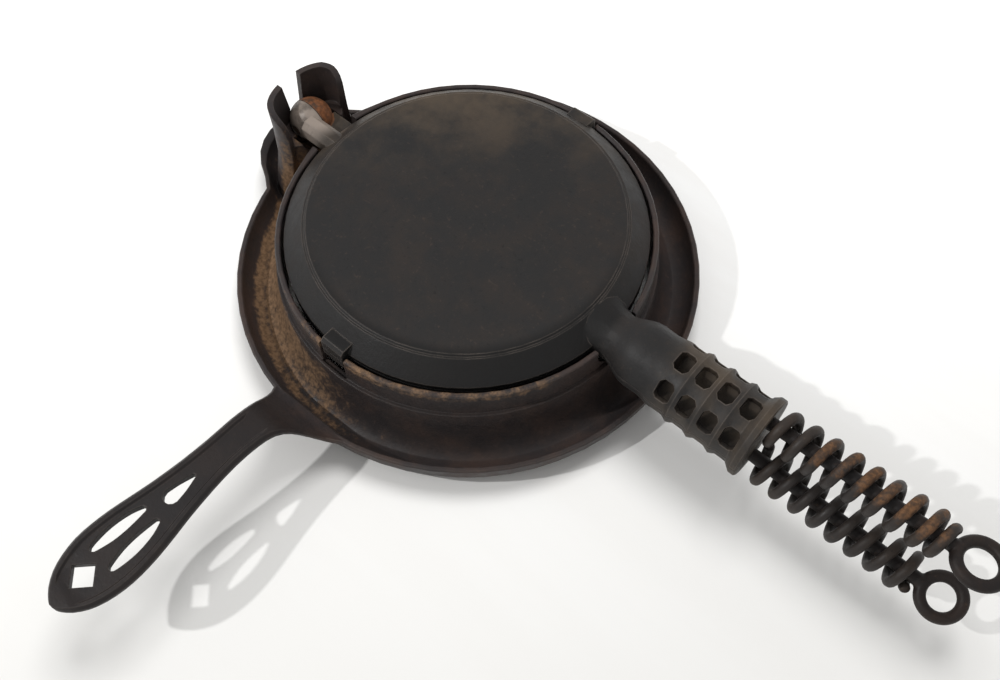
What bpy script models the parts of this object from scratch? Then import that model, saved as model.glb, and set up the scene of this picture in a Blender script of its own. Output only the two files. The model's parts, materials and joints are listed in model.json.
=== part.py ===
"""Stovetop waffle iron: two hinged iron pans that turn over in a ring-shaped base.

Metres, +Z up, standing on z = 0. Lengths along X and Y are measured from the centre of the
pans: the hinge lies towards -X, the coil grips towards +X and the base's side handle towards -Y.
At the end the whole object is moved so that its box is centred on the origin.
"""

import math

import bmesh
import bpy
import numpy as np
from mathutils import Matrix, Vector

# Fits and clearances
PIECE_GAP = 0.0003
DISC_CLEARANCE = 0.0017
LUG_CLEARANCE = 0.0012
CHANNEL_CLEARANCE = 0.0017
CUT_OVERRUN = 0.02

# Pans
PARTING_HEIGHT = 0.039
DISC_RADIUS = 0.0825
DISC_EDGE_HEIGHT = 0.003
DISC_EDGE_TAPER = 0.0003
PAN_THICKNESS = 0.0121
PLATEAU_INSET = 0.011
PLATEAU_STEP = 0.0009
BEVEL_FOOT = 0.0012
LAND_WIDTH = 0.0075
CAVITY_DEPTH = 0.006
CAVITY_DRAFT = 0.0015
STUD_PITCH = 0.012
STUD_BASE = 0.0082
STUD_TOP = 0.0066
STUD_HEIGHT = 0.0037
STUD_MARGIN = 0.0045
LUG_WIDTH = 0.012
LUG_REACH = 0.0032
LUG_HEIGHT = 0.0065
LUG_CHAMFER = 0.0016

# Hinge
HINGE_REACH = 0.019
BALL_RADIUS = 0.0105
ARM_WIDTH = 0.0105
ARM_HEIGHT = 0.0085
ARM_CHAMFER = 0.003
PIN_RADIUS = 0.0025
PIN_CHAMFER = 0.0005
PIN_INSET = 0.0008

# Neck, vented ferrule and collar, of which each pan holds one half
NECK_RADIUS = 0.0113
NECK_LENGTH = 0.0105
NECK_ROOT = 0.0165
NECK_FLARE = 0.0105
SHOULDER_RADIUS = 0.0154
SHOULDER_LENGTH = 0.020
FERRULE_RADIUS = 0.0162
FERRULE_WALL = 0.003
FERRULE_WEB = 0.0018
VENT_COUNT = 4
VENT_PITCH = 0.0106
VENT_LENGTH = 0.0072
VENT_WIDTH = 0.0096
VENT_CORNER = 0.0017
VENT_ROW_ANGLE = math.radians(55)
RIDGE_HEIGHT = 0.0011
COLLAR_RADIUS = 0.0187
COLLAR_THICKNESS = 0.0036

# Handle rods with their eyes, and the coil grips round them. An eye is (ring radius, wire radius,
# roll about the rod).
ROD_RADIUS = 0.003
ROD_SIDEWAYS = 0.003
ROD_HEIGHT = 0.0097
ROD_RISE = 0.0043
ROD_ANCHOR = 0.0012
UPPER_EYE = (0.0088, 0.0026, math.radians(-4))
LOWER_EYE = (0.0081, 0.0025, math.radians(18))
WIRE_RADIUS = 0.0023
COIL_RADIUS = 0.0078
COIL_PITCH = 0.009
COIL_END_PITCH = 0.006
COIL_TURNS = 8.2
COIL_LEAD_TURNS = 0.3
COIL_FIT = 0.00035
COIL_TIGHT_TURNS = 0.75
COIL_SEAT_GAP = 0.0009
COIL_END_GAP = 0.0016
COIL_POINTS_PER_TURN = 10

# Base ring, gutter and lip
WALL_THICKNESS = 0.0025
WALL_RISE = 0.0025
WALL_DEPTH = 0.014
WALL_ROUND = 0.0006
LEDGE_WIDTH = 0.0018
LEDGE_DROP = 0.0014
CASTING_THICKNESS = 0.0034
GUTTER_WIDTH = 0.0223
VALLEY_SHARE = 0.5
FOOT_WIDTH = 0.0055
LIP_HEIGHT = 0.016
LIP_THICKNESS = 0.0026

# Hinge lobe of the rim, socket and ears
LOBE_RADIUS = 0.0295
LOBE_BLEND = 0.012
SEAT_CLEARANCE = 0.0004
EAR_BACK = 0.0086
EAR_SIDE = 0.0165
EAR_LEAN = 0.0014
EAR_THICKNESS = 0.003
EAR_BACK_FLARE = 0.0030
EAR_SIDE_FLARE = 0.0095
EAR_RISE = 0.0197
EAR_SPREAD = math.radians(115)
EAR_SLOT_TOP = 0.0118
EAR_SLOT_BOTTOM = 0.0066
EAR_SLOT_DEPTH = 0.006
PEDESTAL_DROP = 0.003
PEDESTAL_FLOOR = 0.0015

# Side handle of the base
HANDLE_LENGTH = 0.120
HANDLE_HALF_WIDTH = 0.0149
HANDLE_THICKNESS = 0.0043
HANDLE_TOP = 0.0431
HANDLE_ROOT_DEPTH = 0.0022
HANDLE_RIM = 0.0028
HANDLE_RECESS = 0.0011
HANDLE_EDGE = 0.0014
SLOT_WIDTH = 0.0062
DROP_WIDTH = 0.0070
OPENINGS_DRIFT = 0.0020
DIAMOND_REACH = 0.0063

# Shares of the sizes above: outline of the side handle as (share of its length, share of its
# half width, share of its rise from the lip, sideways share of its half width), its slots and its
# drop-shaped hole as (share of its length, sideways share of its half width, share of their own
# width), its hanging hole's share of its length, and height of the ears
HANDLE_OUTLINE_SHARES = (
    (0.000, 1.58, 0.00, 0.14),
    (0.035, 1.20, 0.14, 0.02),
    (0.075, 0.92, 0.42, -0.02),
    (0.115, 0.73, 0.68, -0.04),
    (0.165, 0.61, 0.87, -0.04),
    (0.230, 0.57, 0.97, -0.03),
    (0.325, 0.56, 1.00, -0.03),
    (0.430, 0.62, 1.00, -0.03),
    (0.535, 0.73, 1.00, -0.03),
    (0.610, 0.84, 1.00, -0.03),
    (0.690, 0.95, 1.00, -0.04),
    (0.760, 1.00, 1.00, -0.05),
    (0.820, 0.99, 1.00, -0.06),
    (0.880, 0.89, 1.00, -0.06),
    (0.930, 0.72, 1.00, -0.06),
    (0.970, 0.47, 1.00, -0.06),
    (0.992, 0.23, 1.00, -0.06),
    (1.000, 0.07, 1.00, -0.06),
)
ROOT_BEND_SHARE = 0.1
RECESS_SHARES = (0.17, 0.94)
SLOT_SHARES = (
    (0.622, 0.27, 0.50),
    (0.655, 0.31, 0.80),
    (0.700, 0.34, 1.00),
    (0.745, 0.36, 0.98),
    (0.785, 0.38, 0.74),
    (0.800, 0.385, 0.60),
)
DROP_SHARES = (
    (0.443, 0.00, 0.30),
    (0.490, 0.00, 0.76),
    (0.532, 0.00, 1.00),
)
DIAMOND_SHARE = 0.880
EAR_HEIGHT_SHARES = (
    (0.00, 0.96),
    (0.30, 0.99),
    (0.50, 1.00),
    (0.70, 0.93),
    (0.82, 0.81),
    (0.92, 0.62),
    (0.97, 0.42),
    (1.00, 0.15),
)
NECK_FLARE_SHARES = ((0.00, 1.00), (0.35, 0.50), (0.60, 0.12), (0.80, 0.02), (1.00, 0.00))
NECK_ROOT_SHARE = 0.25
RIDGE_SHARES = (0.25, 0.75)
SECTION_EDGE_SHARE = 0.33
SECTION_RIM_SHARE = 0.5
SECTION_RECESS_SHARE = 0.25

# Facets
RING_STEP = math.radians(6)
LOBE_STEP = math.radians(3)
COVE_STEPS = 4
TUBE_SIDES = 28
EYE_SIDES = 20
ROD_SIDES = 10
EAR_STEPS = 28
SHOULDER_STEPS = 8
ARC_STEPS = 6

# Sizes worked out from those above
HINGE_X = -(DISC_RADIUS + HINGE_REACH)
WALL_INNER = DISC_RADIUS + DISC_CLEARANCE
WALL_OUTER = WALL_INNER + WALL_THICKNESS
LIP_RADIUS = WALL_OUTER + GUTTER_WIDTH
CHANNEL_RADIUS = NECK_RADIUS + CHANNEL_CLEARANCE
NECK_END = DISC_RADIUS + NECK_LENGTH
FERRULE_START = NECK_END + SHOULDER_LENGTH
FERRULE_END = FERRULE_START + VENT_COUNT * VENT_PITCH
COLLAR_END = FERRULE_END + COLLAR_THICKNESS
COIL_START = COLLAR_END + COIL_SEAT_GAP
COIL_LENGTH = WIRE_RADIUS + COIL_PITCH * (COIL_LEAD_TURNS + COIL_TURNS - 1) + COIL_END_PITCH
COIL_END = COIL_START + COIL_LENGTH + COIL_END_GAP
TIGHT_RADIUS = ROD_RADIUS + WIRE_RADIUS + COIL_FIT
HALF_GAP = PIECE_GAP / 2


def material(name, colour, roughness, metallic):
    """A Principled material of one colour."""
    made = bpy.data.materials.new(name)
    made.use_nodes = True
    shader = made.node_tree.nodes["Principled BSDF"]
    shader.inputs["Base Color"].default_value = (*colour, 1)
    shader.inputs["Roughness"].default_value = roughness
    shader.inputs["Metallic"].default_value = metallic
    made.diffuse_color = (*colour, 1)
    return made


def add_object(name, bm):
    """An object from a bmesh, with its faces pointing out."""
    bmesh.ops.recalc_face_normals(bm, faces=bm.faces)
    mesh = bpy.data.meshes.new(name)
    bm.to_mesh(mesh)
    bm.free()
    made = bpy.data.objects.new(name, mesh)
    bpy.context.scene.collection.objects.link(made)
    return made


def skin(rows, closed_rows, name):
    """A closed solid over rows of points, each row a loop. The rows meet in a ring or are capped."""
    bm = bmesh.new()
    loops = [[bm.verts.new(point) for point in row] for row in rows]
    pairs = list(zip(loops, loops[1:]))
    if closed_rows:
        pairs.append((loops[-1], loops[0]))
    for low, high in pairs:
        for i in range(len(low)):
            j = (i + 1) % len(low)
            bm.faces.new((low[i], low[j], high[j], high[i]))
    if not closed_rows:
        bm.faces.new(loops[0])
        bm.faces.new(loops[-1])
    return add_object(name, bm)


def lathe(profile, sides, name, place=Matrix()):
    """Turns a profile of (radius, height) round its height axis, from one end on the axis to the other."""
    bm = bmesh.new()
    rings = []
    for radius, height in profile:
        if radius == 0:
            rings.append([bm.verts.new(place @ Vector((0, 0, height)))])
            continue
        turns = (math.tau * i / sides for i in range(sides))
        rings.append(
            [bm.verts.new(place @ Vector((radius * math.cos(a), radius * math.sin(a), height))) for a in turns]
        )
    for low, high in zip(rings, rings[1:]):
        for i in range(sides):
            j = (i + 1) % sides
            corners = [low[i % len(low)], low[j % len(low)], high[j % len(high)], high[i % len(high)]]
            bm.faces.new(list(dict.fromkeys(corners)))
    return add_object(name, bm)


def prism(outline, bottom, top, name, place=Matrix()):
    """A flat outline of (x, y) points, carried from one height to another."""
    rows = [[place @ Vector((x, y, z)) for x, y in outline] for z in (bottom, top)]
    return skin(rows, False, name)


def box(low, high, name):
    """A block between two corners."""
    outline = ((low[0], low[1]), (high[0], low[1]), (high[0], high[1]), (low[0], high[1]))
    return prism(outline, low[2], high[2], name)


def ball(radius, centre, name):
    """A faceted sphere."""
    half = TUBE_SIDES // 2
    profile = [(radius * math.sin(math.pi * i / half), -radius * math.cos(math.pi * i / half)) for i in range(half + 1)]
    profile[0] = (0, -radius)
    profile[-1] = (0, radius)
    return lathe(profile, TUBE_SIDES, name, Matrix.Translation(centre))


def along_x(x, y, z):
    """Turns a lathe's height axis onto +X, through the given point."""
    return Matrix.Translation((x, y, z)) @ Matrix.Rotation(math.radians(90), 4, "Y")


def rod_shape(radius, start, end, sides, name):
    """A plain round bar between two points."""
    run = Vector(end) - Vector(start)
    place = Matrix.Translation(start) @ Vector((0, 0, 1)).rotation_difference(run).to_matrix().to_4x4()
    return lathe(((0, 0), (radius, 0), (radius, run.length), (0, run.length)), sides, name, place)


def combine(target, *steps):
    """Joins shapes to the target or cuts them out of it, in order, and keeps the result as its mesh."""
    for operation, other in steps:
        other.hide_render = True
        other.display_type = "WIRE"
        step = target.modifiers.new(other.name, "BOOLEAN")
        step.operation = operation
        step.object = other
    bpy.context.view_layer.update()
    graph = bpy.context.evaluated_depsgraph_get()
    result = bpy.data.meshes.new_from_object(target.evaluated_get(graph))
    target.modifiers.clear()
    target.data = result
    for _, other in steps:
        bpy.data.objects.remove(other)
    return target


def finish(made, finish_material, origin, parent=None):
    """Gives a piece its material, its smooth shading, its origin and its parent."""
    shift = Matrix.Translation(-Vector(origin))
    made.data.transform(shift)
    made.data.materials.clear()
    made.data.materials.append(finish_material)
    made.data.shade_smooth()
    made.data.set_sharp_from_angle(angle=math.radians(32))
    made.location = origin
    if parent is not None:
        made.parent = parent
        made.matrix_parent_inverse = Matrix.Translation(-parent_place(parent))
    return made


def parent_place(parent):
    """Where a parent's origin lies at rest."""
    bpy.context.view_layer.update()
    return parent.matrix_world.translation.copy()


def cove(start, end, steps, upright_first):
    """Points of a quarter ellipse between two (radius, height) points."""
    points = []
    for i in range(steps + 1):
        turn = math.radians(90) * i / steps
        if upright_first:
            across, along = 1 - math.cos(turn), math.sin(turn)
        else:
            across, along = math.sin(turn), 1 - math.cos(turn)
        points.append((start[0] + (end[0] - start[0]) * across, start[1] + (end[1] - start[1]) * along))
    return points


def base_profile():
    """Cross-section of the plain part of the base, as (radius, height), once round."""
    top = PARTING_HEIGHT + WALL_RISE
    ledge = top - WALL_DEPTH
    slope_start = (WALL_OUTER + LEDGE_WIDTH, ledge - LEDGE_DROP)
    valley = WALL_OUTER + GUTTER_WIDTH * VALLEY_SHARE
    lip_inner = LIP_RADIUS - LIP_THICKNESS
    foot_inner = valley - FOOT_WIDTH / 2
    foot_outer = valley + FOOT_WIDTH / 2
    under_start = (slope_start[0] - CASTING_THICKNESS, slope_start[1] - LEDGE_WIDTH)
    points = [
        (WALL_INNER + WALL_ROUND, top),
        (WALL_OUTER - WALL_ROUND, top),
        (WALL_OUTER, top - WALL_ROUND),
        (WALL_OUTER, ledge),
        (slope_start[0], ledge),
    ]
    points += cove(slope_start, (valley, CASTING_THICKNESS), COVE_STEPS, True)
    points += cove((valley + WALL_ROUND, CASTING_THICKNESS), (lip_inner, LIP_HEIGHT - WALL_ROUND), COVE_STEPS, False)
    points += [(lip_inner + WALL_ROUND, LIP_HEIGHT), (LIP_RADIUS - WALL_ROUND, LIP_HEIGHT)]
    points += cove((foot_outer, 0), (LIP_RADIUS, LIP_HEIGHT - WALL_ROUND), COVE_STEPS, False)[::-1]
    points += cove(under_start, (foot_inner, 0), COVE_STEPS, True)[::-1]
    points += [(WALL_INNER, ledge), (WALL_INNER, top - WALL_ROUND)]
    return points


def rim_radius(turn):
    """Outer radius of the lip at an angle from the hinge: a circle, blended into the hinge lobe."""
    centre = -HINGE_X
    inside = LOBE_RADIUS**2 - (centre * math.sin(turn)) ** 2
    if inside <= 0 or math.cos(turn) < 0:
        return LIP_RADIUS
    lobe = centre * math.cos(turn) + math.sqrt(inside)
    blend = max(LOBE_BLEND - abs(lobe - LIP_RADIUS), 0) / LOBE_BLEND
    return max(lobe, LIP_RADIUS) + LOBE_BLEND * blend**2 / 4


def base_shell():
    """The ring wall, gutter and lip. Round the hinge the gutter widens into the lobe."""
    widest = math.asin(LOBE_RADIUS / -HINGE_X) + LOBE_STEP
    fine = math.ceil(widest / LOBE_STEP)
    turns = [LOBE_STEP * i for i in range(-fine, fine)]
    rest = math.tau - 2 * fine * LOBE_STEP
    coarse = math.ceil(rest / RING_STEP)
    turns += [fine * LOBE_STEP + rest * i / coarse for i in range(coarse)]
    fixed = WALL_OUTER + LEDGE_WIDTH - CASTING_THICKNESS
    rows = []
    for turn in turns:
        stretch = (rim_radius(turn) - fixed) / (LIP_RADIUS - fixed)
        row = []
        for radius, height in base_profile():
            reach = radius if radius <= fixed else fixed + (radius - fixed) * stretch
            row.append((-reach * math.cos(turn), -reach * math.sin(turn), height))
        rows.append(row)
    return skin(rows, True, "base")


def ear_wall():
    """The curved wall behind the hinge ball, whose two halves are the ears."""
    low = PEDESTAL_FLOOR
    high = PARTING_HEIGHT + EAR_RISE
    rows = []
    for i in range(EAR_STEPS + 1):
        share = 2 * i / EAR_STEPS - 1
        turn = share * EAR_SPREAD
        top = PARTING_HEIGHT + EAR_RISE * np.interp(abs(share), *zip(*EAR_HEIGHT_SHARES))
        middle = PARTING_HEIGHT - BALL_RADIUS
        levels = (low, middle, (middle + top) / 2, top)
        inner = []
        outer = []
        for z in levels:
            lean = EAR_LEAN * (z - low) / (high - low)
            flare = ((high - z) / (high - low)) ** 3
            back = EAR_BACK + lean
            across = EAR_SIDE + lean
            inner.append((HINGE_X - back * math.cos(turn), across * math.sin(turn), z))
            back += EAR_THICKNESS + EAR_BACK_FLARE * flare
            across += EAR_THICKNESS + EAR_SIDE_FLARE * flare
            outer.append((HINGE_X - back * math.cos(turn), across * math.sin(turn), z))
        rows.append(inner + outer[::-1])
    return skin(rows, False, "ear_wall")


def ear_slot():
    """Cutter for the slot between the ears, wider at the top."""
    bottom = PARTING_HEIGHT - EAR_SLOT_DEPTH
    top = PARTING_HEIGHT + EAR_RISE + CUT_OVERRUN
    slope = (EAR_SLOT_TOP - EAR_SLOT_BOTTOM) / 2 / (EAR_RISE + EAR_SLOT_DEPTH)
    low = EAR_SLOT_BOTTOM / 2
    high = low + slope * (top - bottom)
    section = ((-low, bottom), (low, bottom), (high, top), (-high, top))
    ends = (HINGE_X - EAR_BACK - CUT_OVERRUN, HINGE_X)
    return skin([[(x, y, z) for y, z in section] for x in ends], False, "ear_slot")


def pedestal():
    """The block under the hinge ball, inside the ears."""
    outline = []
    for i in range(TUBE_SIDES):
        turn = math.tau * i / TUBE_SIDES
        back = EAR_BACK + EAR_THICKNESS / 2
        across = EAR_SIDE + EAR_THICKNESS / 2
        outline.append((HINGE_X + back * math.cos(turn), across * math.sin(turn)))
    return prism(outline, PEDESTAL_FLOOR, PARTING_HEIGHT - PEDESTAL_DROP, "pedestal")


def smooth_table(table, parts):
    """Points of a Catmull-Rom curve through the rows of a table."""
    rows = np.array(table)
    padded = np.vstack((2 * rows[0] - rows[1], rows, 2 * rows[-1] - rows[-2]))
    points = []
    for i in range(1, len(padded) - 2):
        before, start, end, after = padded[i - 1 : i + 3]
        for part in range(parts):
            t = part / parts
            points.append(
                start
                + (end - before) * t / 2
                + (2 * before - 5 * start + 4 * end - after) * t**2 / 2
                + (3 * start - before - 3 * end + after) * t**3 / 2
            )
    points.append(padded[-2])
    return points


def handle_section(half_width, recess):
    """Cross-section of the side handle, as (sideways, height) about its middle."""
    edge = min(HANDLE_EDGE, half_width * SECTION_EDGE_SHARE)
    rim = min(HANDLE_RIM, half_width * SECTION_RIM_SHARE)
    floor = rim + min(HANDLE_RECESS, half_width * SECTION_RECESS_SHARE)
    half = HANDLE_THICKNESS / 2
    right = [
        (half_width - floor, half - recess),
        (half_width - rim, half),
        (half_width - edge, half),
        (half_width, half - edge),
        (half_width, edge - half),
        (half_width - edge, -half),
    ]
    return right + [(-x, z) for x, z in reversed(right)]


def handle_y(share):
    """Place along -Y of a share of the side handle's length."""
    return -(LIP_RADIUS - HANDLE_ROOT_DEPTH + (HANDLE_LENGTH + HANDLE_ROOT_DEPTH) * share)


def handle_body():
    """The side handle, which rises from the lip and runs level to its round tip."""
    level = HANDLE_TOP - HANDLE_THICKNESS / 2
    root = LIP_HEIGHT - WALL_ROUND - HANDLE_THICKNESS / 2
    rows = []
    for share, width_share, rise_share, side_share in smooth_table(HANDLE_OUTLINE_SHARES, 2):
        recess = HANDLE_RECESS if RECESS_SHARES[0] < share < RECESS_SHARES[1] else 0
        middle = root + (level - root) * rise_share
        section = handle_section(HANDLE_HALF_WIDTH * width_share, recess)
        side = HANDLE_HALF_WIDTH * side_share
        bend = max(1 - share / ROOT_BEND_SHARE, 0)
        row = []
        for x, z in section:
            drop = LIP_RADIUS - math.sqrt(LIP_RADIUS**2 - (x + side) ** 2)
            row.append((x + side, handle_y(share) + drop * bend, middle + z))
        rows.append(row)
    return skin(rows, False, "side_handle")


def arc(centre, radius, start, end, steps):
    """Points of an arc in the plane."""
    turns = (start + (end - start) * i / steps for i in range(steps + 1))
    return [(centre[0] + radius * math.cos(a), centre[1] + radius * math.sin(a)) for a in turns]


def opening_place(along, across):
    """Place in the side handle of a share of its length and a sideways share of its half width."""
    return (HANDLE_HALF_WIDTH * across - OPENINGS_DRIFT * along, handle_y(along))


def tapered_slot(rows, most, name, low, high):
    """A slot with round ends, through the places of a table of shares, whose width changes along it."""
    places = [Vector(opening_place(along, across)) for along, across, _ in rows]
    radii = [most / 2 * share for _, _, share in rows]
    left = []
    right = []
    ends = []
    for i, place in enumerate(places):
        before = places[max(i - 1, 0)]
        after = places[min(i + 1, len(places) - 1)]
        run = (after - before).normalized()
        side = Vector((-run.y, run.x)) * radii[i]
        left.append(tuple(place + side))
        right.append(tuple(place - side))
        ends.append(math.atan2(run.y, run.x))
    quarter = math.radians(90)
    far = arc(places[-1], radii[-1], ends[-1] + quarter, ends[-1] - quarter, ARC_STEPS)
    near = arc(places[0], radii[0], ends[0] - quarter, ends[0] - 3 * quarter, ARC_STEPS)
    return prism(left[:-1] + far + right[-2:0:-1] + near[:-1], low, high, name)


def handle_openings():
    """Cutters for the two curved slots, the drop-shaped hole and the hanging hole."""
    low = HANDLE_TOP - HANDLE_THICKNESS - CUT_OVERRUN
    high = HANDLE_TOP + CUT_OVERRUN
    cutters = [tapered_slot(smooth_table(DROP_SHARES, 3), DROP_WIDTH, "drop_hole", low, high)]
    for side in (-1, 1):
        rows = [(along, side * across, share) for along, across, share in smooth_table(SLOT_SHARES, 2)]
        cutters.append(tapered_slot(rows, SLOT_WIDTH, f"slot_{side}", low, high))
    corner = math.radians(90)
    diamond = arc(opening_place(DIAMOND_SHARE, 0), DIAMOND_REACH, 0, 3 * corner, 3)
    cutters.append(prism(diamond, low, high, "hanging_hole"))
    return cutters


def make_base(iron):
    """The base casting."""
    axis_height = PARTING_HEIGHT
    front = rod_shape(
        CHANNEL_RADIUS,
        (DISC_RADIUS - CUT_OVERRUN, 0, axis_height),
        (WALL_OUTER + CUT_OVERRUN, 0, axis_height),
        TUBE_SIDES,
        "front_gap",
    )
    back = rod_shape(
        CHANNEL_RADIUS,
        (HINGE_X, 0, axis_height),
        (CUT_OVERRUN - DISC_RADIUS, 0, axis_height),
        TUBE_SIDES,
        "arm_channel",
    )
    seat = ball(BALL_RADIUS + SEAT_CLEARANCE, (HINGE_X, 0, axis_height), "ball_seat")
    notch_half = LUG_WIDTH / 2 + LUG_CLEARANCE
    notch_floor = axis_height + WALL_RISE - WALL_DEPTH - LEDGE_DROP
    notches = []
    for side in (-1, 1):
        reach = DISC_RADIUS + LUG_REACH + LUG_CLEARANCE
        ends = sorted((side * (DISC_RADIUS - LUG_REACH), side * reach))
        notches.append(
            box(
                (-notch_half, ends[0], notch_floor),
                (notch_half, ends[1], axis_height + CUT_OVERRUN),
                f"notch_{side}",
            )
        )
    steps = [("UNION", ear_wall()), ("UNION", pedestal()), ("UNION", handle_body())]
    steps += [("DIFFERENCE", cutter) for cutter in (front, back, seat, ear_slot(), *notches, *handle_openings())]
    return finish(combine(base_shell(), *steps), iron, (0, 0, 0))


def pan_disc():
    """The round pan, open on its waffle side, as the upper pan lies."""
    parting = PARTING_HEIGHT + HALF_GAP
    edge = PARTING_HEIGHT + DISC_EDGE_HEIGHT
    top = PARTING_HEIGHT + PAN_THICKNESS
    floor = PARTING_HEIGHT + CAVITY_DEPTH
    plateau = DISC_RADIUS - PLATEAU_INSET
    cavity = DISC_RADIUS - LAND_WIDTH
    profile = (
        (0, floor),
        (cavity - CAVITY_DRAFT, floor),
        (cavity, parting),
        (DISC_RADIUS - DISC_EDGE_TAPER, parting),
        (DISC_RADIUS, edge),
        (DISC_RADIUS - BEVEL_FOOT, edge + BEVEL_FOOT),
        (plateau + PLATEAU_STEP + PLATEAU_STEP, top - PLATEAU_STEP),
        (plateau + PLATEAU_STEP, top - PLATEAU_STEP),
        (plateau, top),
        (0, top),
    )
    return lathe(profile, round(math.tau / RING_STEP), "pan")


def waffle_studs():
    """The studs that mould the waffle's squares, sunk a little into the pan's floor."""
    floor = PARTING_HEIGHT + CAVITY_DEPTH
    limit = DISC_RADIUS - LAND_WIDTH - STUD_MARGIN
    count = math.ceil(limit / STUD_PITCH)
    bm = bmesh.new()
    for i in range(-count, count):
        for j in range(-count, count):
            x = (i + 0.5) * STUD_PITCH
            y = (j + 0.5) * STUD_PITCH
            if math.hypot(abs(x) + STUD_BASE / 2, abs(y) + STUD_BASE / 2) > limit:
                continue
            rings = []
            for size, z in ((STUD_TOP, floor - STUD_HEIGHT), (STUD_BASE, floor), (STUD_BASE, floor + WALL_ROUND)):
                half = size / 2
                corners = ((-half, -half), (half, -half), (half, half), (-half, half))
                rings.append([bm.verts.new((x + dx, y + dy, z)) for dx, dy in corners])
            for low, high in zip(rings, rings[1:]):
                for k in range(4):
                    n = (k + 1) % 4
                    bm.faces.new((low[k], low[n], high[n], high[k]))
            bm.faces.new(rings[0])
            bm.faces.new(rings[-1])
    return add_object("waffle_studs", bm)


def lug(side):
    """A side lug, which drops into a notch of the ring wall."""
    half = LUG_WIDTH / 2
    parting = PARTING_HEIGHT + HALF_GAP
    inner = side * (DISC_RADIUS - LAND_WIDTH / 2)
    outer = side * (DISC_RADIUS + LUG_REACH)
    outer_top = side * (DISC_RADIUS + LUG_REACH - LUG_CHAMFER)
    top = PARTING_HEIGHT + LUG_HEIGHT
    section = ((inner, parting), (outer, parting), (outer, top - LUG_CHAMFER), (outer_top, top), (inner, top))
    rows = [[(x, y, z) for y, z in section] for x in (-half, half)]
    return skin(rows, False, f"lug_{side}")


def hinge_arm():
    """The arm from the pan to its half of the ball."""
    low = PARTING_HEIGHT + HALF_GAP
    high = PARTING_HEIGHT + ARM_HEIGHT
    near = -HALF_GAP
    far = -ARM_WIDTH
    section = (
        (near, low),
        (far, low),
        (far, high - ARM_CHAMFER),
        (far + ARM_CHAMFER, high),
        (near - ARM_CHAMFER, high),
        (near, high - ARM_CHAMFER),
    )
    rows = [[(x, y, z) for y, z in section] for x in (HINGE_X + BALL_RADIUS / 2, PLATEAU_INSET - DISC_RADIUS)]
    return skin(rows, False, "hinge_arm")


def half_ball():
    """One half of the hinge ball, parted across the pin."""
    made = ball(BALL_RADIUS, (HINGE_X, 0, PARTING_HEIGHT), "half_ball")
    reach = BALL_RADIUS + CUT_OVERRUN
    away = box(
        (HINGE_X - reach, -HALF_GAP, PARTING_HEIGHT - reach),
        (HINGE_X + reach, reach, PARTING_HEIGHT + reach),
        "other_half",
    )
    return combine(made, ("DIFFERENCE", away))


def handle_profile():
    """Radius of neck, shoulder, ferrule and collar against the distance along the handle."""
    points = [
        (0, DISC_RADIUS - NECK_ROOT),
        (PAN_THICKNESS - PLATEAU_STEP, DISC_RADIUS - NECK_ROOT),
        (NECK_RADIUS, DISC_RADIUS - NECK_ROOT * NECK_ROOT_SHARE),
        (NECK_RADIUS, NECK_END - NECK_LENGTH / 2),
    ]
    for i in range(1, SHOULDER_STEPS):
        share = i / SHOULDER_STEPS
        x = NECK_END - NECK_LENGTH / 2 + (FERRULE_START - NECK_END + NECK_LENGTH / 2) * share
        swell = math.sin(math.pi * share) ** 2
        level = NECK_RADIUS + (FERRULE_RADIUS - NECK_RADIUS) * share
        points.append((level + (SHOULDER_RADIUS - level) * swell, x))
    points.append((FERRULE_RADIUS, FERRULE_START))
    for i in range(VENT_COUNT):
        start = FERRULE_START + i * VENT_PITCH
        points += [(FERRULE_RADIUS, start + VENT_PITCH * share) for share in RIDGE_SHARES]
        if i < VENT_COUNT - 1:
            points.append((FERRULE_RADIUS + RIDGE_HEIGHT, start + VENT_PITCH))
    points += [
        (COLLAR_RADIUS, FERRULE_END + WALL_ROUND),
        (COLLAR_RADIUS, COLLAR_END - WALL_ROUND),
        (COLLAR_RADIUS - WALL_ROUND, COLLAR_END),
        (0, COLLAR_END),
    ]
    return points


def neck_flare():
    """Where the pan widens into the neck."""
    rows = []
    start = DISC_RADIUS - NECK_ROOT
    for along, share in smooth_table(NECK_FLARE_SHARES, 2):
        x = start + (NECK_END - start) * along
        wide = NECK_RADIUS - PIECE_GAP + NECK_FLARE * share
        high = PAN_THICKNESS - PLATEAU_STEP
        ridge = arc((0, 0), 1, 0, math.pi, 8)
        rows.append([(x, wide * c, PARTING_HEIGHT + HALF_GAP + high * s) for c, s in ridge])
    return skin(rows, False, "neck_flare")


def vent(index, row):
    """A cutter for one oblong vent, with cut corners, pointing out from the handle's axis."""
    x = FERRULE_START + (index + 0.5) * VENT_PITCH
    long_half = VENT_LENGTH / 2
    wide_half = VENT_WIDTH / 2
    outline = []
    for corner_x, corner_y, first in ((1, 1, 0), (-1, 1, 1), (-1, -1, 2), (1, -1, 3)):
        centre = (corner_x * (long_half - VENT_CORNER), corner_y * (wide_half - VENT_CORNER))
        outline += arc(centre, VENT_CORNER, math.radians(90) * first, math.radians(90) * (first + 1), 1)
    place = Matrix.Translation((x, 0, PARTING_HEIGHT)) @ Matrix.Rotation(row * VENT_ROW_ANGLE, 4, "X")
    inner = FERRULE_RADIUS - FERRULE_WALL - FERRULE_WALL
    return prism(outline, inner, SHOULDER_RADIUS + CUT_OVERRUN, f"vent_{index}_{row}", place)


def rod_line(eye):
    """Start and eye centre of a handle rod, as the upper one lies."""
    start = Vector((FERRULE_END - ROD_ANCHOR, ROD_SIDEWAYS, PARTING_HEIGHT + ROD_HEIGHT))
    run = COIL_END + eye[0] + eye[1] - start.x
    rise = ROD_RISE * run / (COIL_END - start.x)
    return start, start + Vector((run, 0, rise))


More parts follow.
